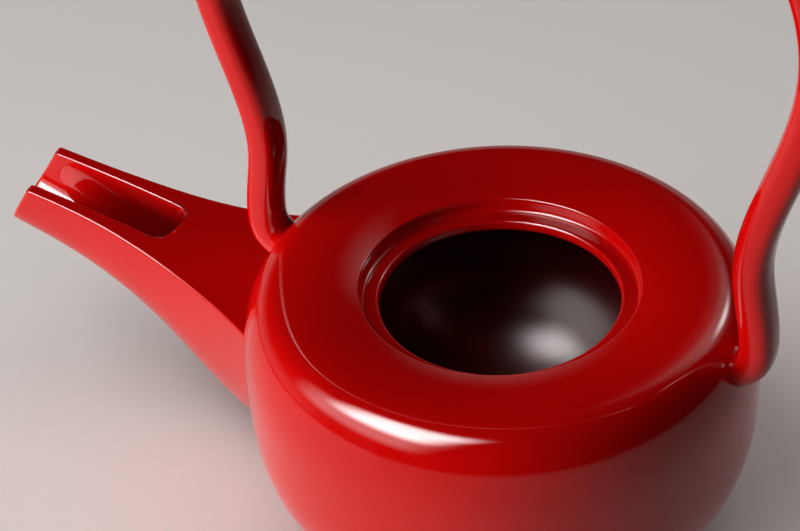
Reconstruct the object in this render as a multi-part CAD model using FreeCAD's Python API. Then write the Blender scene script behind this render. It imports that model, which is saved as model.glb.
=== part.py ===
import FreeCAD, Part
import math
import os
from FreeCAD import Vector

# A choshi: a lacquered wooden sake ewer with a turned body, a carved pouring spout and a bent
# handle over the mouth. Millimetres, +Z up. The origin is the centre of the foot's underside,
# the spout points along -X and the handle stands in the XZ plane.

# Body, outside
bodyHeight = 72.0          # foot's underside to the rim of the lid seat
bodyRadius = 65.3          # greatest radius
widestDrop = 22.0          # from the rim of the lid seat down to the greatest radius
crownRise = 2.4            # swell of the top above the rim of the lid seat
shoulderSpan = 12.3        # from the highest ring of the top out to the greatest radius
shoulderPower = 2.5        # squareness of the shoulder, 2 is an ellipse
bellyPower = 3.5           # squareness of the belly
bellyFloor = 4.0           # height at which the belly's curve would reach the axis

# Foot: a low solid disc with a flat underside
footRadius = 36.0
footRound = 0.8
footCove = 2.0             # hollow fillet between the foot and the belly

# Walls of the hollow body
wall = 7.0                 # at the greatest radius; the hollow is rounder than the belly below it
floorThickness = 4.0       # from the belly curve's lowest point up to the hollow
lipThickness = 3.4         # wood under the lid seat's ledge
cavitySpan = 16.3          # from the edge of the flat ceiling inside out to the widest hollow
cavityPower = 2.5          # squareness of the hollow under the shoulder
hollowPower = 2.1          # squareness of the hollow's bowl-shaped bottom

# Mouth with the sunk seat for a lid
seatRadius = 35.0
seatDepth = 3.8
mouthRadius = 30.2
rimRound = 0.5
seatFillet = 1.2
mouthRound = 0.9
mouthUnderRound = 1.4

# Glued lap joint between the bowl and the shoulder
seamDrop = 12.0            # from the rim of the lid seat down to the joint
lapHeight = 3.0
lapWidth = 3.5             # width of the shoulder's tongue inside the bowl's wall
lapClearance = 0.1

# Spout, outside. Lengths run from the body's side out to the tip, heights are counted from the
# rim of the lid seat.
spoutLength = 74.7         # to the upper edge of the pouring end
spoutTipHeight = -4.4
spoutLipLength = 86.7      # to the lower lip of the pouring end, which slants outwards
spoutLipHeight = -20.0
spoutBlankLength = 90.7    # the blank's full length before its end is cut
spoutRootDepth = 15.3      # the blank runs this far into the body before it is fitted to it
spoutTopPoints = [(spoutBlankLength, -2.1), (46.7, -8.5), (18.7, -13.7), (-spoutRootDepth, -16.6)]
spoutKeelPoints = [
    (spoutBlankLength, -18.0), (60.7, -27.6), (32.7, -43.4), (10.7, -58.4),
    (-spoutRootDepth, -63.4),
]
spoutTipHalf = 10.7        # half of the spout's width at the pouring end
spoutFlareLength = 76.7    # the sides spread from here
spoutFlareDepth = 7.0      # to here, behind the body's side, and reach the half width below
spoutRootHalf = 28.5
spoutFlarePower = 2.5
spoutSectionPower = 3.0    # squareness of the round keel
spoutEdgeRound = 0.5       # arris between the flat top and the sides
spoutStationCount = 10     # cross-sections that the spout's forms are drawn through

# Spout, inside
channelHalf = 7.2          # half of the open channel's width
channelSide = 3.5          # height of the channel's upright sides above its rounded bottom
channelEndLength = 31.9    # the roof closes the channel from here to the body
channelCorner = 4.6        # radius of the channel's closed end in plan
keelWall = 4.5             # wood under the hollow at the pouring end
rootKeelWall = 12.0        # and at the body's side
hollowFlare = 0.45         # how much of the outer flare the hollow follows
roofThickness = 3.0
roofLedge = 1.8            # width of the ledge that carries the roof on each side
roofLength = 38.2          # to the front ends of the roof's two arms beside the channel's end
roofStationCount = 6
roofClearance = 0.1
housingDepth = 2.2         # the spout's root is let this deep into the body's wall
housingClearance = 0.1
cutterReach = 8.0          # how far a cutting shape stands out past the wood it cuts

# Handle: one bent rod. Points of its centre line from the foot to the middle of the grip,
# as distance out from the body's greatest radius and height above the rim of the lid seat.
handlePoints = [
    (-9.3, -8.8), (0.3, -3.0), (1.6, 4.0), (-1.0, 24.5), (5.1, 52.5),
    (10.2, 80.5), (-2.7, 112.1), (-33.8, 125.2), (-bodyRadius, 128.0),
]
handleThickness = 8.7      # in the plane of the bow
handleWidth = 10.7         # across the plane of the bow

# Pegs that hold the handle's feet to the shoulder
pegRadius = 2.0
pegRise = 6.2              # above the joint between the bowl and the shoulder
pegDepth = 8.8             # from the greatest radius inwards
pegReach = 2.7             # and outwards into the handle
pegClearance = 0.05


def superPoint(centreR, centreZ, halfR, halfZ, power, angle):
    # A point of a superellipse, its angle counted from the outermost point upwards.
    r = centreR + halfR * math.cos(angle) ** (2.0 / power)
    z = centreZ + halfZ * math.sin(angle) ** (2.0 / power)
    return Vector(r, 0, z)


def superHeight(centreR, halfR, halfZ, power, r):
    # How far a superellipse stands above or below its widest height at radius r.
    return halfZ * (1.0 - ((r - centreR) / halfR) ** power) ** (1.0 / power)


def superRadius(centreR, halfR, halfZ, power, dz):
    # Radius of a superellipse at the distance dz from its widest height.
    return centreR + halfR * (1.0 - (dz / halfZ) ** power) ** (1.0 / power)


def superEdge(centreR, centreZ, halfR, halfZ, power, heightFrom, heightTo, steps):
    # The stretch of a superellipse between two distances from its widest height.
    sign = 1.0 if halfZ > 0 else -1.0
    depth = abs(halfZ)

    def angleAt(dz):
        return math.asin(min(1.0, (dz / depth) ** (power / 2.0)))

    first = angleAt(heightFrom)
    last = angleAt(heightTo)
    points = []
    for step in range(steps + 1):
        angle = first + (last - first) * step / steps
        points.append(superPoint(centreR, centreZ, halfR, sign * depth, power, angle))
    curve = Part.BSplineCurve()
    curve.interpolate(points)
    return curve.toShape()


def line(r1, z1, r2, z2):
    return Part.makeLine(Vector(r1, 0, z1), Vector(r2, 0, z2))


def turned(edges):
    # A solid turned about the Z axis from its closed half section.
    face = Part.Face(Part.Wire(Part.__sortEdges__(edges)))
    return face.revolve(Vector(0, 0, 0), Vector(0, 0, 1), 360)


def roundRings(solid, rings):
    # Rounds the circular edges at the given radius and height, one fillet radius each.
    for ringRadius, ringHeight, fillet in rings:
        found = []
        for edge in solid.Edges:
            box = edge.BoundBox
            flat = box.ZLength < 0.01 and abs(box.ZMin - ringHeight) < 0.01
            if flat and abs(box.XMax - ringRadius) < 0.01:
                found.append(edge)
        solid = solid.makeFillet(fillet, found)
    return solid


# Body, sizes that follow from the driving ones
widestHeight = bodyHeight - widestDrop
seamHeight = bodyHeight - seamDrop
crownRadius = bodyRadius - shoulderSpan
shoulderRise = bodyHeight + crownRise - widestHeight
bellyDrop = widestHeight - bellyFloor
footTop = widestHeight - superHeight(0, bodyRadius, bellyDrop, bellyPower, footRadius)
lipBottom = bodyHeight - seatDepth - lipThickness
cavityRadius = bodyRadius - wall
ceilingRadius = cavityRadius - cavitySpan
cavityFloor = bellyFloor + floorThickness
cavityRise = lipBottom - widestHeight
cavityDrop = widestHeight - cavityFloor


def shoulderRadius(height):
    dz = height - widestHeight
    return superRadius(crownRadius, shoulderSpan, shoulderRise, shoulderPower, dz)


def cavityRadiusAt(height):
    return superRadius(ceilingRadius, cavitySpan, cavityRise, cavityPower, height - widestHeight)


def crownArc():
    # The gentle swell from the lid seat's rim to the highest ring of the top.
    span = crownRadius - seatRadius
    arcRadius = (span ** 2 + crownRise ** 2) / (2.0 * crownRise)
    half = 0.5 * math.asin(span / arcRadius)
    middle = Vector(
        crownRadius - arcRadius * math.sin(half), 0,
        bodyHeight + crownRise - arcRadius * (1.0 - math.cos(half)))
    start = Vector(crownRadius, 0, bodyHeight + crownRise)
    return Part.Arc(start, middle, Vector(seatRadius, 0, bodyHeight)).toShape()


def outerBelly():
    return superEdge(0, widestHeight, bodyRadius, -bellyDrop, bellyPower,
                     0, widestHeight - footTop, 14)


def outerShoulder(heightFrom, heightTo):
    return superEdge(crownRadius, widestHeight, shoulderSpan, shoulderRise, shoulderPower,
                     heightFrom - widestHeight, heightTo - widestHeight, 9)


def bodyBlank():
    # The body as a solid of turning, without its hollow.
    return turned([
        line(0, 0, footRadius, 0),
        line(footRadius, 0, footRadius, footTop),
        outerBelly(),
        outerShoulder(widestHeight, bodyHeight + crownRise),
        crownArc(),
        line(seatRadius, bodyHeight, 0, bodyHeight),
        line(0, bodyHeight, 0, 0),
    ])


def makeBowl():
    seamRadius = shoulderRadius(seamHeight)
    lapRadius = seamRadius - lapWidth
    lapFloor = seamHeight - lapHeight
    bowl = turned([
        line(0, 0, footRadius, 0),
        line(footRadius, 0, footRadius, footTop),
        outerBelly(),
        outerShoulder(widestHeight, seamHeight),
        line(seamRadius, seamHeight, lapRadius, seamHeight),
        line(lapRadius, seamHeight, lapRadius, lapFloor),
        line(lapRadius, lapFloor, cavityRadiusAt(lapFloor), lapFloor),
        superEdge(ceilingRadius, widestHeight, cavitySpan, cavityRise, cavityPower,
                  0, lapFloor - widestHeight, 5),
        superEdge(0, widestHeight, cavityRadius, -cavityDrop, hollowPower, 0, cavityDrop, 16),
        line(0, cavityFloor, 0, 0),
    ])
    return roundRings(bowl, [(footRadius, footTop, footCove), (footRadius, 0, footRound)])


def makeShoulder():
    seamRadius = shoulderRadius(seamHeight)
    tongueRadius = seamRadius - lapWidth - lapClearance
    tongueFoot = seamHeight - lapHeight
    ledge = bodyHeight - seatDepth
    shoulder = turned([
        outerShoulder(seamHeight, bodyHeight + crownRise),
        crownArc(),
        line(seatRadius, bodyHeight, seatRadius, ledge),
        line(seatRadius, ledge, mouthRadius, ledge),
        line(mouthRadius, ledge, mouthRadius, lipBottom),
        line(mouthRadius, lipBottom, ceilingRadius, lipBottom),
        superEdge(ceilingRadius, widestHeight, cavitySpan, cavityRise, cavityPower,
                  tongueFoot - widestHeight, cavityRise, 9),
        line(cavityRadiusAt(tongueFoot), tongueFoot, tongueRadius, tongueFoot),
        line(tongueRadius, tongueFoot, tongueRadius, seamHeight),
        line(tongueRadius, seamHeight, seamRadius, seamHeight),
    ])
    return roundRings(shoulder, [
        (seatRadius, bodyHeight, rimRound),
        (seatRadius, ledge, seatFillet),
        (mouthRadius, ledge, mouthRound),
        (mouthRadius, lipBottom, mouthUnderRound),
    ])


def spoutCurve(points):
    # A curve along the spout from its lengths and heights.
    curve = Part.BSplineCurve()
    curve.interpolate([Vector(-bodyRadius - away, 0, bodyHeight + rise) for away, rise in points])
    return curve


def heightAt(curve, x):
    # Height of a curve in the XZ plane over x.
    plane = Part.Plane(Vector(x, 0, 0), Vector(1, 0, 0))
    return curve.intersect(plane)[0][0].Z


def stationsBetween(first, last, count):
    return [first + (last - first) * step / (count - 1) for step in range(count)]


# Spout, places along X that follow from the driving lengths
spoutTipX = -bodyRadius - spoutLength
spoutLipX = -bodyRadius - spoutLipLength
spoutStartX = -bodyRadius - spoutBlankLength
spoutRootX = -bodyRadius + spoutRootDepth
spoutFlareX = -bodyRadius - spoutFlareLength
spoutFlareEndX = -bodyRadius + spoutFlareDepth
channelEndX = -bodyRadius - channelEndLength
roofFrontX = -bodyRadius - roofLength
spoutStations = stationsBetween(spoutStartX, spoutRootX, spoutStationCount)
spoutTopCurve = spoutCurve(spoutTopPoints)
spoutKeelCurve = spoutCurve(spoutKeelPoints)


def spoutHalf(x):
    # Half of the spout's width at x: parallel near the tip, then flaring to the body.
    spread = max(0.0, (x - spoutFlareX) / (spoutFlareEndX - spoutFlareX))
    return spoutTipHalf + (spoutRootHalf - spoutTipHalf) * spread ** spoutFlarePower


def hollowHalf(x):
    grow = max(0.0, spoutHalf(x) - spoutHalf(channelEndX))
    return channelHalf + hollowFlare * grow


def keelWallAt(x):
    share = max(0.0, (x - channelEndX) / (spoutRootX - channelEndX))
    return keelWall + (rootKeelWall - keelWall) * share


def keelCurve(x, half, widest, bottom):
    # The superelliptic underside of a section across the spout.
    points = [Vector(x, half, widest)]
    for step in range(1, 16):
        angle = math.pi * step / 16
        y = half * math.copysign(abs(math.cos(angle)) ** (2.0 / spoutSectionPower), math.cos(angle))
        z = widest - (widest - bottom) * math.sin(angle) ** (2.0 / spoutSectionPower)
        points.append(Vector(x, y, z))
    points.append(Vector(x, -half, widest))
    curve = Part.BSplineCurve()
    curve.interpolate(points)
    return curve.toShape()


def spoutSection(x, half, top, bottom):
    # Flat top, small round arrises and a rounded underside.
    widest = top - spoutEdgeRound
    inset = spoutEdgeRound * (1.0 - math.sqrt(0.5))
    edges = [keelCurve(x, half, widest, bottom)]
    for side in (-1, 1):
        edges.append(Part.Arc(
            Vector(x, side * half, widest), Vector(x, side * (half - inset), top - inset),
            Vector(x, side * (half - spoutEdgeRound), top)).toShape())
    edges.append(Part.makeLine(
        Vector(x, spoutEdgeRound - half, top), Vector(x, half - spoutEdgeRound, top)))
    return Part.Wire(Part.__sortEdges__(edges))


def hollowSection(x, half, top, widest, bottom):
    # Square above, with a rounded bottom.
    return Part.Wire(Part.__sortEdges__([
        keelCurve(x, half, widest, bottom),
        Part.makeLine(Vector(x, -half, widest), Vector(x, -half, top)),
        Part.makeLine(Vector(x, -half, top), Vector(x, half, top)),
        Part.makeLine(Vector(x, half, top), Vector(x, half, widest)),
    ]))


def spoutBlank(grow=0.0):
    # The outside of the spout, before its end is cut and its root fitted to the body.
    wires = []
    for x in spoutStations:
        top = heightAt(spoutTopCurve, x) + grow
        bottom = heightAt(spoutKeelCurve, x) - grow
        wires.append(spoutSection(x, spoutHalf(x) + grow, top, bottom))
    return Part.makeLoft(wires, True, False)


def spoutHollow(rise):
    # The way of the sake through the spout, up to the given height above the spout's top.
    wires = []
    for x in spoutStations + [spoutRootX + cutterReach]:
        at = min(x, spoutRootX)
        top = heightAt(spoutTopCurve, at)
        bottom = heightAt(spoutKeelCurve, at) + keelWallAt(at)
        wires.append(hollowSection(x, hollowHalf(at), top + rise, top - channelSide, bottom))
    return Part.makeLoft(wires, True, False)


def roofSlab(sideGap, frontX):
    # The space of the roof plate, from its underside to above the spout's top.
    wires = []
    for x in stationsBetween(frontX, spoutRootX, roofStationCount):
        half = hollowHalf(x) + roofLedge - sideGap
        low = heightAt(spoutTopCurve, x) - roofThickness
        high = low + cutterReach
        wires.append(Part.makePolygon([
            Vector(x, -half, low), Vector(x, half, low), Vector(x, half, high),
            Vector(x, -half, high), Vector(x, -half, low)]))
    return Part.makeLoft(wires, True, False)


def channelEnd():
    # The closed end of the channel in plan, cut through the roof plate.
    length = channelEndX - roofFrontX + cutterReach
    depth = roofThickness + 2 * cutterReach
    corner = Vector(
        channelEndX - length, -channelHalf, heightAt(spoutTopCurve, channelEndX) - depth / 2)
    block = Part.makeBox(length, 2 * channelHalf, depth, corner)
    upright = []
    for edge in block.Edges:
        box = edge.BoundBox
        if box.ZLength > depth / 2 and box.XMax > channelEndX - channelCorner:
            upright.append(edge)
    return block.makeFillet(channelCorner, upright)


def tipCutter():
    # Everything beyond the slanted pouring end.
    slope = (spoutTipX - spoutLipX) / (spoutTipHeight - spoutLipHeight)
    low = spoutLipHeight - cutterReach
    lowX = spoutTipX - slope * (spoutTipHeight - low)
    high = spoutTipHeight + cutterReach
    highX = spoutTipX + slope * cutterReach
    farX = spoutLipX - 4 * cutterReach
    half = spoutTipHalf + cutterReach
    face = Part.Face(Part.makePolygon([
        Vector(lowX, -half, bodyHeight + low),
        Vector(highX, -half, bodyHeight + high),
        Vector(farX, -half, bodyHeight + high),
        Vector(farX, -half, bodyHeight + low),
        Vector(lowX, -half, bodyHeight + low)]))
    return face.extrude(Vector(0, 2 * half, 0))


def housedBody():
    # The lower body's outline moved inwards by the depth of the spout's housing.
    radius = bodyRadius - housingDepth
    drop = bellyDrop - housingDepth
    span = shoulderSpan - housingDepth
    rise = shoulderRise
    low = superHeight(0, radius, drop, bellyPower, footRadius)
    seam = superRadius(crownRadius, span, rise, shoulderPower, seamHeight - widestHeight)
    return turned([
        line(0, 0, footRadius, 0),
        line(footRadius, 0, footRadius, widestHeight - low),
        superEdge(0, widestHeight, radius, -drop, bellyPower, 0, low, 14),
        superEdge(crownRadius, widestHeight, span, rise, shoulderPower,
                  0, seamHeight - widestHeight, 9),
        line(seam, seamHeight, 0, seamHeight),
        line(0, seamHeight, 0, 0),
    ])


def makeHandle():
    # The rod swept along its bow; both ends are coped to the shoulder they stand on.
    right = [Vector(bodyRadius + out, 0, bodyHeight + rise) for out, rise in handlePoints]
    left = [Vector(-point.x, 0, point.z) for point in reversed(right[:-1])]
    bow = Part.BSplineCurve()
    bow.interpolate(right + left)
    path = Part.Wire(bow.toShape())
    start = bow.value(bow.FirstParameter)
    along = bow.tangent(bow.FirstParameter)[0]
    across = Vector(0, 1, 0)
    section = Part.Ellipse(
        start + across * (handleWidth / 2), start + along.cross(across) * (handleThickness / 2),
        start)
    profile = Part.Wire(section.toShape())
    return path.makePipeShell([profile], True, False)


def makePeg(side, grow=0.0):
    inner = Vector(side * (bodyRadius - pegDepth - grow), 0, seamHeight + pegRise)
    length = pegDepth + pegReach + 2 * grow
    return Part.makeCylinder(pegRadius + grow, length, inner, Vector(side, 0, 0))


blank = bodyBlank()
housing = housedBody()

# Body: the bowl takes the spout, the shoulder takes the handle's pegs.
pocket = spoutBlank(housingClearance).cut(housing)
window = spoutHollow(-roofThickness)
bowl = makeBowl().cut(pocket).cut(window)
shoulder = makeShoulder()

# Spout: a carved trough with a let-in roof plate over its inner part.
spout = spoutBlank().cut(tipCutter()).cut(housing)
trough = spout.cut(spoutHollow(cutterReach)).cut(roofSlab(0.0, roofFrontX))
roof = spout.common(roofSlab(roofClearance, roofFrontX + roofClearance)).cut(channelEnd())

# Handle and pegs.
handle = makeHandle().cut(blank)
pegs = []
for side in (-1, 1):
    handle = handle.cut(makePeg(side, pegClearance))
    shoulder = shoulder.cut(makePeg(side, pegClearance))
    pegs.append(makePeg(side))

os.makedirs("parts", exist_ok=True)
nodes = {
    "bowl": bowl,
    "shoulder": shoulder,
    "spout_trough": trough,
    "spout_roof": roof,
    "handle_bow": handle,
    "handle_pegs": Part.makeCompound(pegs),
}
for name, shape in nodes.items():
    solids = shape.Solids
    result = solids[0] if len(solids) == 1 else Part.makeCompound(solids)
    print(name, "solids", len(solids), "volume", round(shape.Volume), "valid", shape.isValid())
    result.exportStep(os.path.join("parts", name + ".step"))
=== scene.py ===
import math

import bmesh
import bpy
import numpy as np
from mathutils import Matrix, Vector


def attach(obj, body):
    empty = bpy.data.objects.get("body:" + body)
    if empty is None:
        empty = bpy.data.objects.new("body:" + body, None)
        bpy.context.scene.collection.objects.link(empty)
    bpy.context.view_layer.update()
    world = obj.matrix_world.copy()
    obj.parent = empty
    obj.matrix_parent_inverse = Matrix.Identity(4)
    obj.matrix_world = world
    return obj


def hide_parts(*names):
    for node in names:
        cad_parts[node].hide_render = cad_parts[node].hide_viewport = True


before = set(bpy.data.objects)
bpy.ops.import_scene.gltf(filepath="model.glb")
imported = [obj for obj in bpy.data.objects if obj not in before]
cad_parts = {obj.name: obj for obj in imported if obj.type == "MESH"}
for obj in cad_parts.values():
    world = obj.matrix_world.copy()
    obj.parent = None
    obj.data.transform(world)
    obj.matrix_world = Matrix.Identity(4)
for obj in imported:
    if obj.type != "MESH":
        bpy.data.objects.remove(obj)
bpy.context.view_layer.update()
print("frame loaded:", sorted(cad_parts))

mm = 0.001  # all sizes below are in millimetres, Blender works in metres
weldWithin = 2e-6  # points closer than this, in metres, become one


# small helpers used by every piece

def vec(points):
    return np.array(points, float)


def smoothCurve(points, count):
    # a cubic spline through the points, evenly stepped along its chords
    pts = vec(points)
    t = np.concatenate([[0], np.cumsum(np.linalg.norm(np.diff(pts, axis=0), axis=1))])
    n, h = len(pts), np.diff(t)
    a, b = np.eye(n), np.zeros_like(pts)
    for i in range(1, n - 1):
        a[i, i - 1:i + 2] = h[i - 1], 2 * (h[i - 1] + h[i]), h[i]
        b[i] = 6 * ((pts[i + 1] - pts[i]) / h[i] - (pts[i] - pts[i - 1]) / h[i - 1])
    m = np.linalg.solve(a, b)  # second derivatives, zero at both ends
    at = np.linspace(0, t[-1], count)
    k = np.clip(np.searchsorted(t, at, side="right") - 1, 0, n - 2)
    p, q, w = (t[k + 1] - at)[:, None], (at - t[k])[:, None], h[k][:, None]
    return ((m[k] * p ** 3 + m[k + 1] * q ** 3) / (6 * w)
            + (pts[k] / w - m[k] * w / 6) * p + (pts[k + 1] / w - m[k + 1] * w / 6) * q)


def superCurve(centreR, centreZ, halfR, halfZ, power, start, end, count):
    # part of a superellipse, angles counted from its outermost point
    ang = np.linspace(start, end, count)
    r = centreR + halfR * np.cos(ang).clip(0) ** (2 / power)
    z = centreZ + halfZ * np.sin(ang).clip(0) ** (2 / power)
    return [(float(x), float(y)) for x, y in zip(r, z)]


def superAngle(share, power):
    return math.asin(min(1.0, share ** (power / 2)))


def filletPath(corners, steps=7, guard=0.12):
    # corners are (r, z, radius); guard loops beside each arc keep the flats flat
    out = []
    for i, (r, z, radius) in enumerate(corners):
        here = Vector((r, z))
        if radius == 0 or i in (0, len(corners) - 1):
            out.append((r, z))
            continue
        back = (Vector(corners[i - 1][:2]) - here).normalized()
        ahead = (Vector(corners[i + 1][:2]) - here).normalized()
        half = back.angle(ahead) / 2
        reach = radius / math.tan(half)
        centre = here + (back + ahead).normalized() * (radius / math.sin(half))
        first, last = here + back * reach - centre, here + ahead * reach - centre
        turn = first.angle_signed(last)
        out.append(tuple(centre + first + back * guard))
        for s in range(steps + 1):
            out.append(tuple(centre + Matrix.Rotation(-turn * s / steps, 2) @ first))
        out.append(tuple(centre + last + ahead * guard))
    return out


def makePiece(name, points, faces, marks, materials, nodes):
    # one mesh object in the part's frame, riding on the only body
    mesh = bpy.data.meshes.new(name)
    mesh.from_pydata([tuple(p) for p in np.asarray(points) * mm], [], faces)
    for material in materials:
        mesh.materials.append(material)
    mesh.polygons.foreach_set("material_index", marks)
    obj = bpy.data.objects.new(name, mesh)
    bpy.context.scene.collection.objects.link(obj)
    tidyMesh(mesh)
    if nodes:
        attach(obj, "root")
        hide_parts(*nodes)
    return obj


def tidyMesh(mesh, sharpFrom=50):
    bm = bmesh.new()
    bm.from_mesh(mesh)
    bmesh.ops.remove_doubles(bm, verts=bm.verts, dist=weldWithin)
    bmesh.ops.dissolve_degenerate(bm, edges=bm.edges, dist=weldWithin)
    bmesh.ops.recalc_face_normals(bm, faces=bm.faces)
    bm.to_mesh(mesh)
    bm.free()
    mesh.shade_smooth()
    mesh.set_sharp_from_angle(angle=math.radians(sharpFrom))


def bakeModifiers(obj):
    # the modifiers' result becomes the object's own mesh
    graph = bpy.context.evaluated_depsgraph_get()
    baked = bpy.data.meshes.new_from_object(obj.evaluated_get(graph))
    obj.modifiers.clear()
    obj.data = baked
    return obj


def softenEdges(obj, width, keep, segments=4, creaseFrom=38):
    # rounds the crease edges that keep() picks
    bm = bmesh.new()
    bm.from_mesh(obj.data)
    weight = bm.edges.layers.float.new("bevel_weight_edge")
    for edge in bm.edges:
        if len(edge.link_faces) == 2 and edge.calc_face_angle(0) > math.radians(creaseFrom):
            if keep(edge.verts[0].co / mm, edge.verts[1].co / mm):
                edge[weight] = 1.0
    bm.to_mesh(obj.data)
    bm.free()
    bevel = obj.modifiers.new("softEdge", "BEVEL")
    bevel.limit_method = "WEIGHT"
    bevel.width = width * mm
    bevel.segments = segments
    bevel.use_clamp_overlap = False
    bevel.harden_normals = True
    bakeModifiers(obj)


def turnPiece(name, profile, marks, materials, nodes, around=320):
    # a piece turned about Z; the profile closes on itself unless it starts and ends on the axis
    pts, faces, faceMarks = [], [], []
    ang = np.linspace(0, 2 * math.pi, around, endpoint=False)
    for r, z in profile:
        pts += [(r * math.cos(a), r * math.sin(a), z) for a in ang]
    onAxis = profile[0][0] == 0
    rows = len(profile)
    for i in range(rows - 1 if onAxis else rows):
        j = (i + 1) % rows
        for k in range(around):
            m = (k + 1) % around
            faces.append((i * around + k, i * around + m, j * around + m, j * around + k))
            faceMarks.append(marks[i])
    return makePiece(name, pts, faces, faceMarks, materials, nodes)


# lacquers and wood

lacquerLooks = {
    "red": (0.40, 0.0016, 0.0012),
    "redDeep": (0.33, 0.0008, 0.0008),
    "redRoughness": (0.035, 0.075),
    "inside": (0.16, 0.0009, 0.0009),
    "insideDeep": (0.12, 0.0006, 0.0006),
    "insideRoughness": (0.17, 0.23),
    "ior": 1.5, "redBrushing": 0.02, "insideBrushing": 0.05,
    "cloudScale": 18, "cloudDetail": 3, "cloudFrom": 0.3, "cloudTo": 0.7,
    "polishScale": 240, "polishDetail": 5,
    "waveScale": 55, "waveDetail": 1.5, "waveDepth": 0.0002,
}
pegWoodLooks = {
    "light": (0.42, 0.26, 0.13), "dark": (0.30, 0.17, 0.08), "roughness": 0.6,
    "grainScale": 420, "grainDistortion": 6, "grainDetail": 3,
    "grainRelief": 0.15, "grainDepth": 0.0001,
}


def lacquerMaterial(name, lightColor, deepColor, roughness, brushing):
    looks = lacquerLooks
    mat = bpy.data.materials.new(name)
    mat.use_nodes = True
    tree = mat.node_tree
    shader = tree.nodes["Principled BSDF"]
    shader.inputs["IOR"].default_value = looks["ior"]
    place = tree.nodes.new("ShaderNodeTexCoord")
    # slow change of depth in the colour, as hand-brushed coats have
    cloud = tree.nodes.new("ShaderNodeTexNoise")
    cloud.inputs["Scale"].default_value = looks["cloudScale"]
    cloud.inputs["Detail"].default_value = looks["cloudDetail"]
    tree.links.new(place.outputs["Object"], cloud.inputs["Vector"])
    tint = tree.nodes.new("ShaderNodeValToRGB")
    tint.color_ramp.elements[0].position = looks["cloudFrom"]
    tint.color_ramp.elements[1].position = looks["cloudTo"]
    tint.color_ramp.elements[0].color = (*deepColor, 1)
    tint.color_ramp.elements[1].color = (*lightColor, 1)
    tree.links.new(cloud.outputs["Fac"], tint.inputs["Fac"])
    tree.links.new(tint.outputs["Color"], shader.inputs["Base Color"])
    # fine polish marks vary the gloss
    polish = tree.nodes.new("ShaderNodeTexNoise")
    polish.inputs["Scale"].default_value = looks["polishScale"]
    polish.inputs["Detail"].default_value = looks["polishDetail"]
    tree.links.new(place.outputs["Object"], polish.inputs["Vector"])
    gloss = tree.nodes.new("ShaderNodeMapRange")
    gloss.inputs["To Min"].default_value = roughness[0]
    gloss.inputs["To Max"].default_value = roughness[1]
    tree.links.new(polish.outputs["Fac"], gloss.inputs["Value"])
    tree.links.new(gloss.outputs["Result"], shader.inputs["Roughness"])
    # the lacquer's faint waviness
    wave = tree.nodes.new("ShaderNodeTexNoise")
    wave.inputs["Scale"].default_value = looks["waveScale"]
    wave.inputs["Detail"].default_value = looks["waveDetail"]
    tree.links.new(place.outputs["Object"], wave.inputs["Vector"])
    bump = tree.nodes.new("ShaderNodeBump")
    bump.inputs["Strength"].default_value = brushing
    bump.inputs["Distance"].default_value = looks["waveDepth"]
    tree.links.new(wave.outputs["Fac"], bump.inputs["Height"])
    tree.links.new(bump.outputs["Normal"], shader.inputs["Normal"])
    return mat


def pegWoodMaterial():
    looks = pegWoodLooks
    mat = bpy.data.materials.new("pegWood")
    mat.use_nodes = True
    tree = mat.node_tree
    shader = tree.nodes["Principled BSDF"]
    place = tree.nodes.new("ShaderNodeTexCoord")
    grain = tree.nodes.new("ShaderNodeTexWave")
    grain.inputs["Scale"].default_value = looks["grainScale"]
    grain.inputs["Distortion"].default_value = looks["grainDistortion"]
    grain.inputs["Detail"].default_value = looks["grainDetail"]
    tint = tree.nodes.new("ShaderNodeValToRGB")
    tint.color_ramp.elements[0].color = (*looks["dark"], 1)
    tint.color_ramp.elements[1].color = (*looks["light"], 1)
    bump = tree.nodes.new("ShaderNodeBump")
    bump.inputs["Strength"].default_value = looks["grainRelief"]
    bump.inputs["Distance"].default_value = looks["grainDepth"]
    tree.links.new(place.outputs["Object"], grain.inputs["Vector"])
    tree.links.new(grain.outputs["Fac"], tint.inputs["Fac"])
    tree.links.new(tint.outputs["Color"], shader.inputs["Base Color"])
    tree.links.new(grain.outputs["Fac"], bump.inputs["Height"])
    tree.links.new(bump.outputs["Normal"], shader.inputs["Normal"])
    shader.inputs["Roughness"].default_value = looks["roughness"]
    return mat


redLacquer = lacquerMaterial(
    "redLacquer", lacquerLooks["red"], lacquerLooks["redDeep"],
    lacquerLooks["redRoughness"], lacquerLooks["redBrushing"])
insideLacquer = lacquerMaterial(
    "insideLacquer", lacquerLooks["inside"], lacquerLooks["insideDeep"],
    lacquerLooks["insideRoughness"], lacquerLooks["insideBrushing"])
pegWood = pegWoodMaterial()
print("materials ready")


# body: bowl below the seam, shoulder above it

bodySizes = {
    "rim": 72.0, "radius": 65.28, "widest": 50.0, "crownRise": 2.4, "crownRadius": 53.0,
    "shoulderPower": 2.5, "bellyPower": 3.5, "bellyFloor": 4.0,
    "footRadius": 36.0, "footRound": 0.8, "footCove": 2.0,
    "cavityRadius": 58.3, "cavityFloor": 8.0, "ceilingRadius": 42.0, "cavityPower": 2.5,
    "hollowPower": 2.1,
    "lipBottom": 64.8, "seatRadius": 35.0, "ledge": 68.2, "mouthRadius": 30.2,
    "rimRound": 0.5, "seatFillet": 1.2, "mouthRound": 0.9, "mouthUnderRound": 1.4,
    "seam": 60.0, "insideRows": 9,
}
bs = bodySizes


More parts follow.
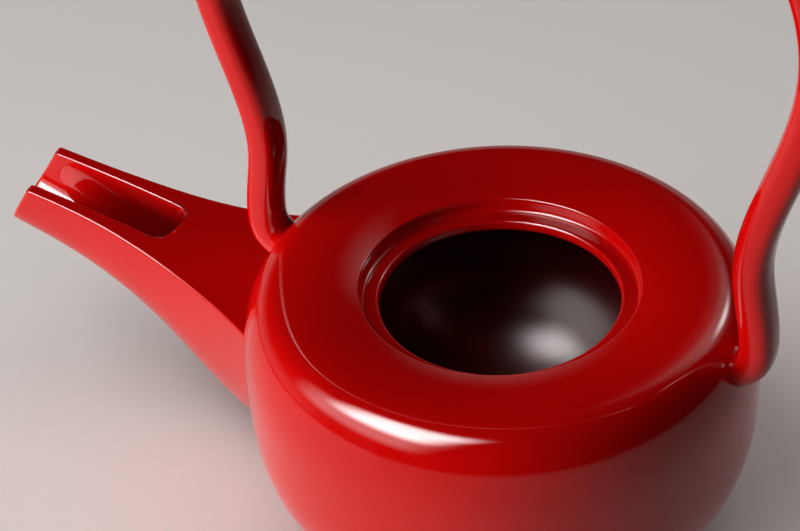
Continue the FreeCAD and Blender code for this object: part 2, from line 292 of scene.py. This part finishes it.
def bodyRadiusAt(z):
    # the body's outside at a height, for fitting the spout to it
    z = np.asarray(z, float)
    down = ((bs["widest"] - z) / (bs["widest"] - bs["bellyFloor"])).clip(0, 1)
    up = ((z - bs["widest"]) / (bs["rim"] + bs["crownRise"] - bs["widest"])).clip(0, 1)
    belly = bs["radius"] * (1 - down ** bs["bellyPower"]) ** (1 / bs["bellyPower"])
    span = bs["radius"] - bs["crownRadius"]
    top = bs["crownRadius"] + span * (1 - up ** bs["shoulderPower"]) ** (1 / bs["shoulderPower"])
    return np.where(z < bs["widest"], belly, top)


def makeBowl():
    belly = superCurve(0, bs["widest"], bs["radius"], bs["bellyFloor"] - bs["widest"],
                       bs["bellyPower"], 0, 1.45, 400)
    belly = [p for p in belly if p[0] > bs["footRadius"] + bs["footCove"]][::-1]
    footTop = belly[0][1] - 0.25
    foot = filletPath([(0, 0, 0), (bs["footRadius"], 0, bs["footRound"]),
                       (bs["footRadius"], footTop, bs["footCove"]), (*belly[0], 0)])
    rise = bs["rim"] + bs["crownRise"] - bs["widest"]
    last = superAngle((bs["seam"] - bs["widest"]) / rise, bs["shoulderPower"])
    shoulder = superCurve(bs["crownRadius"], bs["widest"], bs["radius"] - bs["crownRadius"], rise,
                          bs["shoulderPower"], 0, last, 30)
    inRise = bs["lipBottom"] - bs["widest"]
    span = bs["cavityRadius"] - bs["ceilingRadius"]
    last = superAngle((bs["seam"] - bs["widest"]) / inRise, bs["cavityPower"])
    upper = superCurve(bs["ceilingRadius"], bs["widest"], span, inRise, bs["cavityPower"],
                       last, 0, 16)
    lower = superCurve(0, bs["widest"], bs["cavityRadius"], bs["cavityFloor"] - bs["widest"],
                       bs["hollowPower"], 0, math.pi / 2, 120)
    outside = foot[:-1] + belly[::6] + [belly[-1]] + shoulder[1:]
    profile = outside + upper + lower[1:-1] + [(0, bs["cavityFloor"])]
    marks = [0] * (len(outside) - 1) + [1] * (len(profile) - len(outside) + 1)
    return turnPiece("bowlShell", profile, marks, [redLacquer, insideLacquer],
                     ["bowl"])


def makeShoulder():
    rise = bs["rim"] + bs["crownRise"] - bs["widest"]
    first = superAngle((bs["seam"] - bs["widest"]) / rise, bs["shoulderPower"])
    outside = superCurve(bs["crownRadius"], bs["widest"], bs["radius"] - bs["crownRadius"], rise,
                         bs["shoulderPower"], first, math.pi / 2, 90)
    span = bs["crownRadius"] - bs["seatRadius"]
    arcRadius = (span ** 2 + bs["crownRise"] ** 2) / (2 * bs["crownRise"])
    top = bs["rim"] + bs["crownRise"]
    crown = []
    for s in range(1, 25):
        a = math.asin(span / arcRadius) * s / 24
        crown.append((bs["crownRadius"] - arcRadius * math.sin(a),
                      top - arcRadius * (1 - math.cos(a))))
    seat = filletPath([(*crown[-2], 0), (bs["seatRadius"], bs["rim"], bs["rimRound"]),
                       (bs["seatRadius"], bs["ledge"], bs["seatFillet"]),
                       (bs["mouthRadius"], bs["ledge"], bs["mouthRound"]),
                       (bs["mouthRadius"], bs["lipBottom"], bs["mouthUnderRound"]),
                       (bs["ceilingRadius"], bs["lipBottom"], 0)])
    inRise = bs["lipBottom"] - bs["widest"]
    last = superAngle((bs["seam"] - bs["widest"]) / inRise, bs["cavityPower"])
    cavity = superCurve(bs["ceilingRadius"], bs["widest"], bs["cavityRadius"] - bs["ceilingRadius"],
                        inRise, bs["cavityPower"], math.pi / 2, last, 24)
    profile = outside + crown[:-2] + seat + cavity[1:]
    # red down to the round under the mouth, dark from there on
    redRows = len(outside) + len(crown) - 2 + len(seat) - bs["insideRows"]
    marks = [0] * redRows + [1] * (len(profile) - redRows)
    return turnPiece("shoulderShell", profile, marks, [redLacquer, insideLacquer],
                     ["shoulder"])


bowl = makeBowl()
shoulder = makeShoulder()
print("body turned")


# spout: trough with its open channel, and the roof over its inner part

spoutSizes = {
    "tipX": -140.6, "tipTop": 67.9, "lipX": -151.5, "lipZ": 52.0,
    "topLine": [(-156.0, 69.9), (-112.0, 63.5), (-84.0, 58.3), (-50.0, 55.4)],
    "keelLine": [(-156.0, 54.0), (-126.0, 44.4), (-98.0, 28.6), (-76.0, 13.6), (-50.0, 8.6)],
    "tipHalf": 10.7, "flareX": -142.0, "flareEndX": -58.3, "rootHalf": 28.5, "flarePower": 2.5,
    "sectionPower": 3.0, "channelHalf": 7.2, "channelSide": 3.5, "channelEndX": -97.2,
    "channelCorner": 4.6, "keelWall": 4.5, "rootKeelWall": 12.0, "hollowFlare": 0.45,
    "roofThickness": 3.0, "roofLedge": 1.8, "roofFrontX": -103.5,
    "rootX": -50.0, "housing": 1.6, "edgeRound": 0.6, "endRound": 0.9, "tipSkew": 11.0,
    "evenFromX": -118.0, "evenToX": -74.0, "endX": -58.0, "roofBackX": -57.0,
    "windowFromX": -72.0, "windowToX": -46.0,
    "tipRows": 18, "channelRows": 14, "roofedRows": 24, "rootRows": 18,
    "arrisSteps": 5, "keelSteps": 72, "flatShares": (0.08, 0.36, 0.64, 0.92),
}
ss = spoutSizes
topCurve = smoothCurve(ss["topLine"], 900)
keelCurve = smoothCurve(ss["keelLine"], 900)


def topAt(x):
    return np.interp(x, topCurve[:, 0], topCurve[:, 1])


def keelAt(x):
    return np.interp(x, keelCurve[:, 0], keelCurve[:, 1])


def halfAt(x):
    spread = ((np.asarray(x, float) - ss["flareX"]) / (ss["flareEndX"] - ss["flareX"])).clip(0)
    return ss["tipHalf"] + (ss["rootHalf"] - ss["tipHalf"]) * spread ** ss["flarePower"]


def hollowHalfAt(x):
    grow = (halfAt(x) - halfAt(ss["channelEndX"])).clip(0)
    return ss["channelHalf"] + ss["hollowFlare"] * grow


def floorAt(x):
    share = ((np.asarray(x, float) - ss["channelEndX"])
             / (ss["rootX"] - ss["channelEndX"])).clip(0)
    return keelAt(x) + ss["keelWall"] + (ss["rootKeelWall"] - ss["keelWall"]) * share


def superSide(ang, power):
    y = np.sign(np.cos(ang)) * np.abs(np.cos(ang)) ** (2 / power)
    return y, np.abs(np.sin(ang)) ** (2 / power)


def troughSection(xs, roofed):
    # closed (y, z) loops round the trough, one for each x
    half, hollow = halfAt(xs), hollowHalfAt(xs)
    top, keel, base = topAt(xs), keelAt(xs), floorAt(xs)
    soft, side, under = ss["edgeRound"], top - ss["channelSide"], top - ss["roofThickness"]
    ledge = hollow + ss["roofLedge"]
    quarter = [math.pi / 2 * s / ss["arrisSteps"] for s in range(ss["arrisSteps"] + 1)]
    bend = [math.pi * s / ss["keelSteps"] for s in range(ss["keelSteps"] + 1)]

    def wallTop():
        # from the outer side over the arris and the flat to the hollow, for the +Y wall
        out = [(half - soft * (1 - math.cos(a)), top - soft * (1 - math.sin(a))) for a in quarter]
        inner = ledge if roofed else hollow + soft
        out += [(half - soft + (inner - half + soft) * share, top) for share in ss["flatShares"]]
        if roofed:
            drop = [share / ss["arrisSteps"] for share in range(ss["arrisSteps"] + 1)]
            out += [(ledge, top - ss["roofThickness"] * share) for share in drop]
        else:
            out += [(hollow + soft * (1 - math.sin(a)), top - soft * (1 - math.cos(a)))
                    for a in quarter]
        out += [(hollow, under), (hollow, 0.5 * (under + side))]
        return out

    loop = [(half * y, top - soft - (top - soft - keel) * z)
            for y, z in (superSide(a, ss["sectionPower"]) for a in bend)]
    loop += [(-y, z) for y, z in wallTop()[1:]]
    loop += [(hollow * y, side - (side - base) * z)
             for y, z in (superSide(a, ss["sectionPower"]) for a in bend[::-1])]
    loop += wallTop()[:0:-1]
    full = [np.stack([np.broadcast_to(v, np.shape(xs)) for v in point], -1) for point in loop]
    return np.stack(full, -2)


def sectionAt(xs, roofed):
    # every line along the trough has an x of its own
    loops = troughSection(xs, roofed)
    pick = np.arange(len(xs))
    return loops[pick, pick, 0], loops[pick, pick, 1]


def endPlaneX(y, z):
    # the slanted pouring end, turned a little towards the far side as in the photo
    slope = (ss["tipX"] - ss["lipX"]) / (ss["tipTop"] - ss["lipZ"])
    return ss["tipX"] - slope * (ss["tipTop"] - z) - y * math.tan(math.radians(ss["tipSkew"]))


def fittedEnds():
    # where each line along the trough meets the slanted end and the body, by damped steps
    count = troughSection(np.array([ss["channelEndX"]]), False).shape[1]
    tip = np.full(count, ss["tipX"])
    for _ in range(50):
        tip = 0.5 * tip + 0.5 * endPlaneX(*sectionAt(tip, False))
    root = np.full(count, ss["endX"])
    for _ in range(90):
        y, z = sectionAt(root, True)
        reach = bodyRadiusAt(z) - ss["housing"]
        root = 0.7 * root - 0.3 * np.sqrt((reach ** 2 - y ** 2).clip(100))
    return tip, root


def makeTrough():
    tip, root = fittedEnds()
    nearTip, nearRoot, rootX = ss["evenFromX"], ss["evenToX"], ss["endX"]
    channelXs = [*np.linspace(ss["tipX"], nearTip, ss["tipRows"]),
                 *np.linspace(nearTip, ss["roofFrontX"], ss["channelRows"])[1:]]
    roofedXs = [*np.linspace(ss["roofFrontX"], nearRoot, ss["roofedRows"]),
                *np.linspace(nearRoot, rootX, ss["rootRows"])[1:]]
    rings = []
    for x, roofed in [(x, False) for x in channelXs] + [(x, True) for x in roofedXs]:
        toTip = max(0.0, (nearTip - x) / (nearTip - ss["tipX"]))
        toRoot = max(0.0, (x - nearRoot) / (rootX - nearRoot))
        at = x + toTip * (tip - ss["tipX"]) + toRoot * (root - rootX)
        rings.append(np.stack([at, *sectionAt(at, roofed)], -1))
    n = len(rings[0])
    faces = []
    for i in range(len(rings) - 1):
        for k in range(n):
            m = (k + 1) % n
            faces.append((i * n + k, i * n + m, (i + 1) * n + m, (i + 1) * n + k))
    # close the slanted end and the root between the outer and the inner line
    bend = ss["keelSteps"]
    top = (n - 2 * (bend + 1)) // 2
    for row in (0, len(rings) - 1):
        base = row * n
        inside = [base + 2 * bend + 1 + top - k for k in range(bend + 1)]
        for k in range(bend):
            faces.append((base + k, base + k + 1, inside[k + 1], inside[k]))
        faces.append(tuple(base + k for k in range(bend, bend + top + 2)))
        faces.append(tuple(base + k % n for k in range(2 * bend + 1 + top, n + 1)))
    obj = makePiece("spoutTrough", np.concatenate(rings), faces, [0] * len(faces),
                    [redLacquer, insideLacquer], ["spout_trough"])

    def atEnd(p):
        return abs(p.x - endPlaneX(p.y, p.z)) < 0.02

    softenEdges(obj, ss["endRound"], lambda a, b: atEnd(a) and atEnd(b))
    return obj


def makeRoof():
    # a sheet over the inner part with the channel's rounded end cut out, then given its depth
    corner, endX, half = ss["channelCorner"], ss["channelEndX"], ss["channelHalf"]
    arc = np.linspace(0, math.pi / 2, 13)
    front = list(np.linspace(ss["roofFrontX"], endX - corner, 3)[:-1]) + list(
        endX - corner + corner * np.sin(arc))
    notch = [half] * 2 + list(half - corner + corner * np.cos(arc))
    back = list(np.linspace(endX, ss["roofBackX"], 30)[1:])
    flat = half - corner
    pts, faces, index = [], [], {}

    def vertex(x, y):
        key = (round(float(x), 5), round(float(y), 5))
        if key not in index:
            index[key] = len(pts)
            pts.append((x, y, float(topAt(x))))
        return index[key]

    def columns(x, inside, side):
        outside = float(hollowHalfAt(x)) + ss["roofLedge"]
        return [(x, side * (inside + (outside - inside) * s)) for s in (0, 0.12, 0.4, 0.7, 1)]

    def join(a, b):
        for k in range(len(a) - 1):
            face = [vertex(*a[k]), vertex(*a[k + 1]), vertex(*b[k + 1]), vertex(*b[k])]
            faces.append(tuple(dict.fromkeys(face)))

    for side in (-1, 1):
        rows = [columns(x, n, side) for x, n in zip(front, notch)]
        rows += [columns(x, flat, side) for x in back]
        rows = [trimToBody(row) for row in rows]
        for a, b in zip(rows[:-1], rows[1:]):
            join(a, b)
    middle = [[(x, y) for y in (-flat, -flat / 3, flat / 3, flat)] for x in [endX] + back]
    middle = [trimToBody(row) for row in middle]
    for a, b in zip(middle[:-1], middle[1:]):
        join(a, b)
    faces = [f for f in faces if len(f) > 2]
    obj = makePiece("spoutRoof", pts, faces, [0] * len(faces), [redLacquer, insideLacquer],
                    ["spout_roof"])
    bm = bmesh.new()
    bm.from_mesh(obj.data)
    grown = bmesh.ops.extrude_face_region(bm, geom=bm.faces[:])
    low = [v for v in grown["geom"] if isinstance(v, bmesh.types.BMVert)]
    bmesh.ops.translate(bm, verts=low, vec=(0, 0, -ss["roofThickness"] * mm))
    bmesh.ops.recalc_face_normals(bm, faces=bm.faces)
    bm.to_mesh(obj.data)
    bm.free()
    obj.data.shade_smooth()

    def keepEdge(a, b):
        high = a.z > topAt(a.x) - 0.05 and b.z > topAt(b.x) - 0.05
        inNotch = max(a.x, b.x) < endX + 0.01 and max(abs(a.y), abs(b.y)) < half + 0.01
        return high and inNotch and max(a.x, b.x) > ss["roofFrontX"] + 0.01

    softenEdges(obj, ss["edgeRound"], keepEdge)
    obj.data.set_sharp_from_angle(angle=math.radians(50))
    return obj


def trimToBody(row):
    # nothing of the roof reaches further into the body than the trough does
    out = []
    for x, y in row:
        reach = float(bodyRadiusAt(topAt(x))) - ss["housing"]
        out.append((min(x, -math.sqrt(max(reach ** 2 - y ** 2, 1.0))), y))
    return out


def cutDuctWindow(target):
    # opens the bowl's wall where the spout's hollow runs into the body
    rings = []
    ang = np.linspace(0, math.pi, 33)
    sy, sz = superSide(ang, ss["sectionPower"])
    for x in np.linspace(ss["windowFromX"], ss["windowToX"], 7):
        at = min(float(x), ss["rootX"])
        half, top = float(hollowHalfAt(at)), float(topAt(at))
        side = top - ss["channelSide"]
        ring = [(x, half * a, side - (side - float(floorAt(at))) * b) for a, b in zip(sy, sz)]
        ring += [(x, -half, top - ss["roofThickness"]), (x, half, top - ss["roofThickness"])]
        rings.append(ring)
    n = len(rings[0])
    pts = [p for ring in rings for p in ring]
    faces = [tuple(range(n)), tuple(range(len(pts) - n, len(pts)))]
    for i in range(len(rings) - 1):
        for k in range(n):
            m = (k + 1) % n
            faces.append((i * n + k, i * n + m, (i + 1) * n + m, (i + 1) * n + k))
    cutter = makePiece("ductCutter", pts, faces, [1] * len(faces), [redLacquer, insideLacquer],
                       None)
    cut = target.modifiers.new("ductWindow", "BOOLEAN")
    cut.operation = "DIFFERENCE"
    cut.solver = "EXACT"
    cut.object = cutter
    bakeModifiers(target)
    bpy.data.objects.remove(cutter)
    target.data.set_sharp_from_angle(angle=math.radians(40))


trough = makeTrough()
roof = makeRoof()
cutDuctWindow(bowl)
print("spout carved")


# handle

handleSizes = {
    "line": [(61.0, 65.9), (65.6, 69.0), (66.9, 76.0), (64.3, 96.5), (70.4, 124.5),
             (75.5, 152.5), (62.6, 184.1), (31.5, 197.2), (0.0, 200.0)],
    "thickness": 8.66, "width": 10.7, "power": 2.7, "around": 96, "along": 420,
}


def handleSection(ang):
    # an oval with flattened faces
    hs = handleSizes
    c, s = np.cos(ang), np.sin(ang)
    out = hs["thickness"] / 2 * np.sign(c) * np.abs(c) ** (2 / hs["power"])
    return out, hs["width"] / 2 * np.sign(s) * np.abs(s) ** (2 / hs["power"])


def makeHandle():
    hs = handleSizes
    right = hs["line"]
    bow = smoothCurve(right + [(-x, z) for x, z in right[:-1][::-1]], hs["along"])
    tangent = np.gradient(bow, axis=0)
    tangent /= np.linalg.norm(tangent, axis=1)[:, None]
    ang = np.linspace(0, 2 * math.pi, hs["around"], endpoint=False)
    pts, faces = [], []
    for (x, z), (tx, tz) in zip(bow, tangent):
        for out, y in zip(*handleSection(ang)):
            pts.append((x - tz * out, y, z + tx * out))
    n = hs["around"]
    for i in range(len(bow) - 1):
        for k in range(n):
            m = (k + 1) % n
            faces.append((i * n + k, i * n + m, (i + 1) * n + m, (i + 1) * n + k))
    faces.append(tuple(range(n)))
    faces.append(tuple(range(len(pts) - n, len(pts))))
    return makePiece("handleBow", pts, faces, [0] * len(faces), [redLacquer],
                     ["handle_bow"])


handle = makeHandle()
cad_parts["handle_pegs"].data.materials[0] = pegWood
print("handle bent")


# floor

stageLooks = {
    # shade, shadeFrom and shadeTo paint shade onto the floor, darker towards the front right in
    # place of light falling off there
    "pale": (0.79, 0.752, 0.728), "shade": (0.46, 0.437, 0.423), "roughness": 0.85,
    "around": 96, "rings": 12, "fibreScale": 900, "fibreDepth": 0.0002,
    "sheen": 0.2, "fibreRelief": 0.1,
    "radius": 3.2, "shadeFrom": -0.04, "shadeTo": 0.16, "shadeAzimuth": 330,
}


def makeFloor():
    count, rings = stageLooks["around"], stageLooks["rings"]
    pts = [(0, 0, 0)]
    for ring in range(1, rings + 1):
        r = stageLooks["radius"] * (ring / rings) ** 2
        for k in range(count):
            a = 2 * math.pi * k / count
            pts.append((r * math.cos(a), r * math.sin(a), 0))
    faces = [(0, 1 + k, 1 + (k + 1) % count) for k in range(count)]
    for ring in range(rings - 1):
        for k in range(count):
            a, b = 1 + ring * count, 1 + (ring + 1) * count
            m = (k + 1) % count
            faces.append((a + k, b + k, b + m, a + m))
    mesh = bpy.data.meshes.new("floor")
    mesh.from_pydata(pts, [], faces)
    mesh.materials.append(floorMaterial())
    obj = bpy.data.objects.new("floor", mesh)
    bpy.context.scene.collection.objects.link(obj)
    return obj


def floorMaterial():
    # pale paper with painted shade, turning greyer towards the front right in place of light
    # falling off there
    mat = bpy.data.materials.new("paperFloor")
    mat.use_nodes = True
    tree = mat.node_tree
    shader = tree.nodes["Principled BSDF"]
    shader.inputs["Roughness"].default_value = stageLooks["roughness"]
    shader.inputs["Specular IOR Level"].default_value = stageLooks["sheen"]
    place = tree.nodes.new("ShaderNodeTexCoord")
    turned = tree.nodes.new("ShaderNodeMapping")
    turned.inputs["Rotation"].default_value = (
        0, 0, -math.radians(stageLooks["shadeAzimuth"]))
    split = tree.nodes.new("ShaderNodeSeparateXYZ")
    fade = tree.nodes.new("ShaderNodeMapRange")
    fade.interpolation_type = "SMOOTHSTEP"
    fade.inputs["From Min"].default_value = stageLooks["shadeFrom"]
    fade.inputs["From Max"].default_value = stageLooks["shadeTo"]
    tint = tree.nodes.new("ShaderNodeValToRGB")
    tint.color_ramp.elements[0].color = (*stageLooks["pale"], 1)
    tint.color_ramp.elements[1].color = (*stageLooks["shade"], 1)
    fibre = tree.nodes.new("ShaderNodeTexNoise")
    fibre.inputs["Scale"].default_value = stageLooks["fibreScale"]
    bump = tree.nodes.new("ShaderNodeBump")
    bump.inputs["Strength"].default_value = stageLooks["fibreRelief"]
    bump.inputs["Distance"].default_value = stageLooks["fibreDepth"]
    tree.links.new(place.outputs["Object"], turned.inputs["Vector"])
    tree.links.new(turned.outputs["Vector"], split.inputs["Vector"])
    tree.links.new(split.outputs["X"], fade.inputs["Value"])
    tree.links.new(fade.outputs["Result"], tint.inputs["Fac"])
    tree.links.new(tint.outputs["Color"], shader.inputs["Base Color"])
    tree.links.new(place.outputs["Object"], fibre.inputs["Vector"])
    tree.links.new(fibre.outputs["Fac"], bump.inputs["Height"])
    tree.links.new(bump.outputs["Normal"], shader.inputs["Normal"])
    return mat


floor = makeFloor()
print("floor laid")


# light and camera

lightSetup = {
    # where the light comes from, how far and how wide; rim is the soft share of its edge,
    # gloss and diffuse say what it shows in, lights what it falls on
    "keySoftbox": {"azimuth": 233, "elevation": 54, "away": 1.0, "size": (0.76, 0.76),
                   "radiance": 1.5, "rim": 0.0, "gloss": False, "diffuse": True, "lights": "ewer"},
    "keyGlow": {"azimuth": 237, "elevation": 55, "away": 1.0, "size": (0.96, 0.84),
                "radiance": 18.0, "rim": 0.34, "gloss": True, "diffuse": False,
                "lights": "outside"},
    "hollowGlow": {"azimuth": 222, "elevation": 67, "away": 1.0, "size": (0.8, 0.5),
                   "radiance": 13.0, "rim": 0.4, "gloss": True, "diffuse": False,
                   "lights": "bowl"},
    "keyScrim": {"azimuth": 232, "elevation": 36, "away": 1.1, "size": (1.5, 1.0),
                 "radiance": 2.4, "rim": 0.3, "gloss": True, "diffuse": False, "lights": "all"},
    "lowFill": {"azimuth": 228, "elevation": 12, "away": 1.1, "size": (0.8, 0.5),
                "radiance": 14.0, "rim": 0.0, "gloss": False, "diffuse": True, "lights": "body"},
    "handleFill": {"azimuth": 234, "elevation": 8, "away": 0.7, "size": (0.4, 0.4),
                   "radiance": 15.0, "rim": 0.0, "gloss": False, "diffuse": True,
                   "lights": "handle"},
    "floorWash": {"azimuth": 225, "elevation": 50, "away": 1.2, "size": (1.2, 1.2),
                  "radiance": 1.85, "rim": 0.0, "gloss": False, "diffuse": True,
                  "lights": "floor"},
    "floorFill": {"azimuth": 340, "elevation": 70, "away": 0.8, "size": (1.0, 1.0),
                  "radiance": 0.85, "rim": 0.0, "gloss": False, "diffuse": True,
                  "lights": "floor"},
    "backFill": {"azimuth": 80, "elevation": 25, "away": 1.4, "size": (1.2, 0.8),
                 "radiance": 2.9, "rim": 0.0, "gloss": False, "diffuse": True, "lights": "body"},
    "backGlow": {"azimuth": 78, "elevation": 38, "away": 1.2, "size": (0.34, 0.28),
                 "radiance": 7.0, "rim": 0.5, "gloss": True, "diffuse": False,
                 "lights": "body"},
    "backHaze": {"azimuth": 82, "elevation": 42, "away": 1.2, "size": (0.95, 0.6),
                 "radiance": 0.8, "rim": 0.4, "gloss": True, "diffuse": False,
                 "lights": "body"},
}
lampAim = (0, 0, 0.06)  # every lamp faces this point of the body
worldLooks = {"horizon": (0.46, 0.44, 0.42), "zenith": (0.004, 0.004, 0.004),
              "top": 0.42, "fullTo": 0.05, "azimuth": 150, "sideFrom": 0.25, "sideTo": 0.65}


def softenRim(light, share):
    # the lamp's surface fades out towards its border
    light.use_nodes = True
    tree = light.node_tree
    emission = tree.nodes["Emission"]
    place = tree.nodes.new("ShaderNodeNewGeometry")
    split = tree.nodes.new("ShaderNodeSeparateXYZ")
    tree.links.new(place.outputs["Parametric"], split.inputs["Vector"])
    both = tree.nodes.new("ShaderNodeMath")
    both.operation = "MULTIPLY"
    for slot, axis in enumerate(("X", "Y")):
        fold = tree.nodes.new("ShaderNodeMath")
        fold.operation = "PINGPONG"
        fold.inputs[1].default_value = 0.5
        fade = tree.nodes.new("ShaderNodeMapRange")
        fade.interpolation_type = "SMOOTHSTEP"
        fade.inputs["From Max"].default_value = share
        tree.links.new(split.outputs[axis], fold.inputs[0])
        tree.links.new(fold.outputs["Value"], fade.inputs["Value"])
        tree.links.new(fade.outputs["Result"], both.inputs[slot])
    tree.links.new(both.outputs["Value"], emission.inputs["Strength"])


def addSoftbox(name, setup):
    light = bpy.data.lights.new(name, "AREA")
    light.shape = "RECTANGLE"
    light.size, light.size_y = setup["size"]
    light.energy = setup["radiance"] * 4 * light.size * light.size_y
    if setup["rim"]:
        softenRim(light, setup["rim"])
    lamp = bpy.data.objects.new(name, light)
    az, el = math.radians(setup["azimuth"]), math.radians(setup["elevation"])
    toLight = Vector((math.cos(el) * math.cos(az), math.cos(el) * math.sin(az), math.sin(el)))
    lamp.location = Vector(lampAim) + toLight * setup["away"]
    lamp.rotation_euler = toLight.to_track_quat("Z", "Y").to_euler()
    lamp.visible_glossy = setup["gloss"]
    lamp.visible_diffuse = setup["diffuse"]
    lamp.visible_camera = False
    bpy.context.scene.collection.objects.link(lamp)
    return lamp


lamps = {name: addSoftbox(name, setup) for name, setup in lightSetup.items()}


def linkReceivers():
    # a lamp falls only on the pieces of its group, and one that lights all on everything
    body = [bowl, shoulder, trough, roof]
    receivers = {"ewer": body + [handle], "body": body, "handle": [handle], "bowl": [bowl],
                 "outside": [shoulder, trough, roof, handle], "floor": [floor]}
    for group, members in receivers.items():
        lit = bpy.data.collections.new(group + "Receivers")
        for member in members:
            lit.objects.link(member)
        for name, setup in lightSetup.items():
            if setup["lights"] == group:
                lamps[name].light_linking.receiver_collection = lit


linkReceivers()


def makeWorld():
    # a grey wall stands low at the far left, and the rest is dark
    world = bpy.data.worlds.new("studio")
    bpy.context.scene.world = world
    world.use_nodes = True
    tree = world.node_tree
    tree.nodes.clear()
    out = tree.nodes.new("ShaderNodeOutputWorld")
    back = tree.nodes.new("ShaderNodeBackground")
    place = tree.nodes.new("ShaderNodeTexCoord")
    split = tree.nodes.new("ShaderNodeSeparateXYZ")
    rise = tree.nodes.new("ShaderNodeMapRange")
    rise.interpolation_type = "SMOOTHSTEP"
    rise.inputs["From Min"].default_value = worldLooks["top"]
    rise.inputs["From Max"].default_value = worldLooks["fullTo"]
    turned = tree.nodes.new("ShaderNodeMapping")
    turned.inputs["Rotation"].default_value = (0, 0, -math.radians(worldLooks["azimuth"]))
    turnedSplit = tree.nodes.new("ShaderNodeSeparateXYZ")
    side = tree.nodes.new("ShaderNodeMapRange")
    side.interpolation_type = "SMOOTHSTEP"
    side.inputs["From Min"].default_value = worldLooks["sideFrom"]
    side.inputs["From Max"].default_value = worldLooks["sideTo"]
    both = tree.nodes.new("ShaderNodeMath")
    both.operation = "MULTIPLY"
    tint = tree.nodes.new("ShaderNodeMix")
    tint.data_type = "RGBA"
    tint.inputs[6].default_value = (*worldLooks["zenith"], 1)
    tint.inputs[7].default_value = (*worldLooks["horizon"], 1)
    link = tree.links.new
    link(place.outputs["Generated"], split.inputs["Vector"])
    link(split.outputs["Z"], rise.inputs["Value"])
    link(place.outputs["Generated"], turned.inputs["Vector"])
    link(turned.outputs["Vector"], turnedSplit.inputs["Vector"])
    link(turnedSplit.outputs["X"], side.inputs["Value"])
    link(rise.outputs["Result"], both.inputs[0])
    link(side.outputs["Result"], both.inputs[1])
    link(both.outputs["Value"], tint.inputs["Factor"])
    link(tint.outputs[2], back.inputs["Color"])
    link(back.outputs["Background"], out.inputs["Surface"])


makeWorld()

cameraSetup = {
    "place": (0.16442, -0.33071, 0.36364),
    "right": (0.88402, 0.46403, -0.05655),
    "up": (-0.24476, 0.56252, 0.78971),
    "lens": 85.31,
}


def addCamera():
    right, up = Vector(cameraSetup["right"]), Vector(cameraSetup["up"])
    turn = Matrix((right, up, right.cross(up))).transposed()
    camera = bpy.data.cameras.new("photoCamera")
    camera.lens = cameraSetup["lens"]
    camera.sensor_width = 36
    camera.clip_start = 0.01
    obj = bpy.data.objects.new("photoCamera", camera)
    obj.matrix_world = Matrix.Translation(cameraSetup["place"]) @ turn.to_4x4()
    bpy.context.scene.collection.objects.link(obj)
    bpy.context.scene.camera = obj


addCamera()
bpy.context.scene.view_settings.view_transform = "Standard"
print("light and camera set")
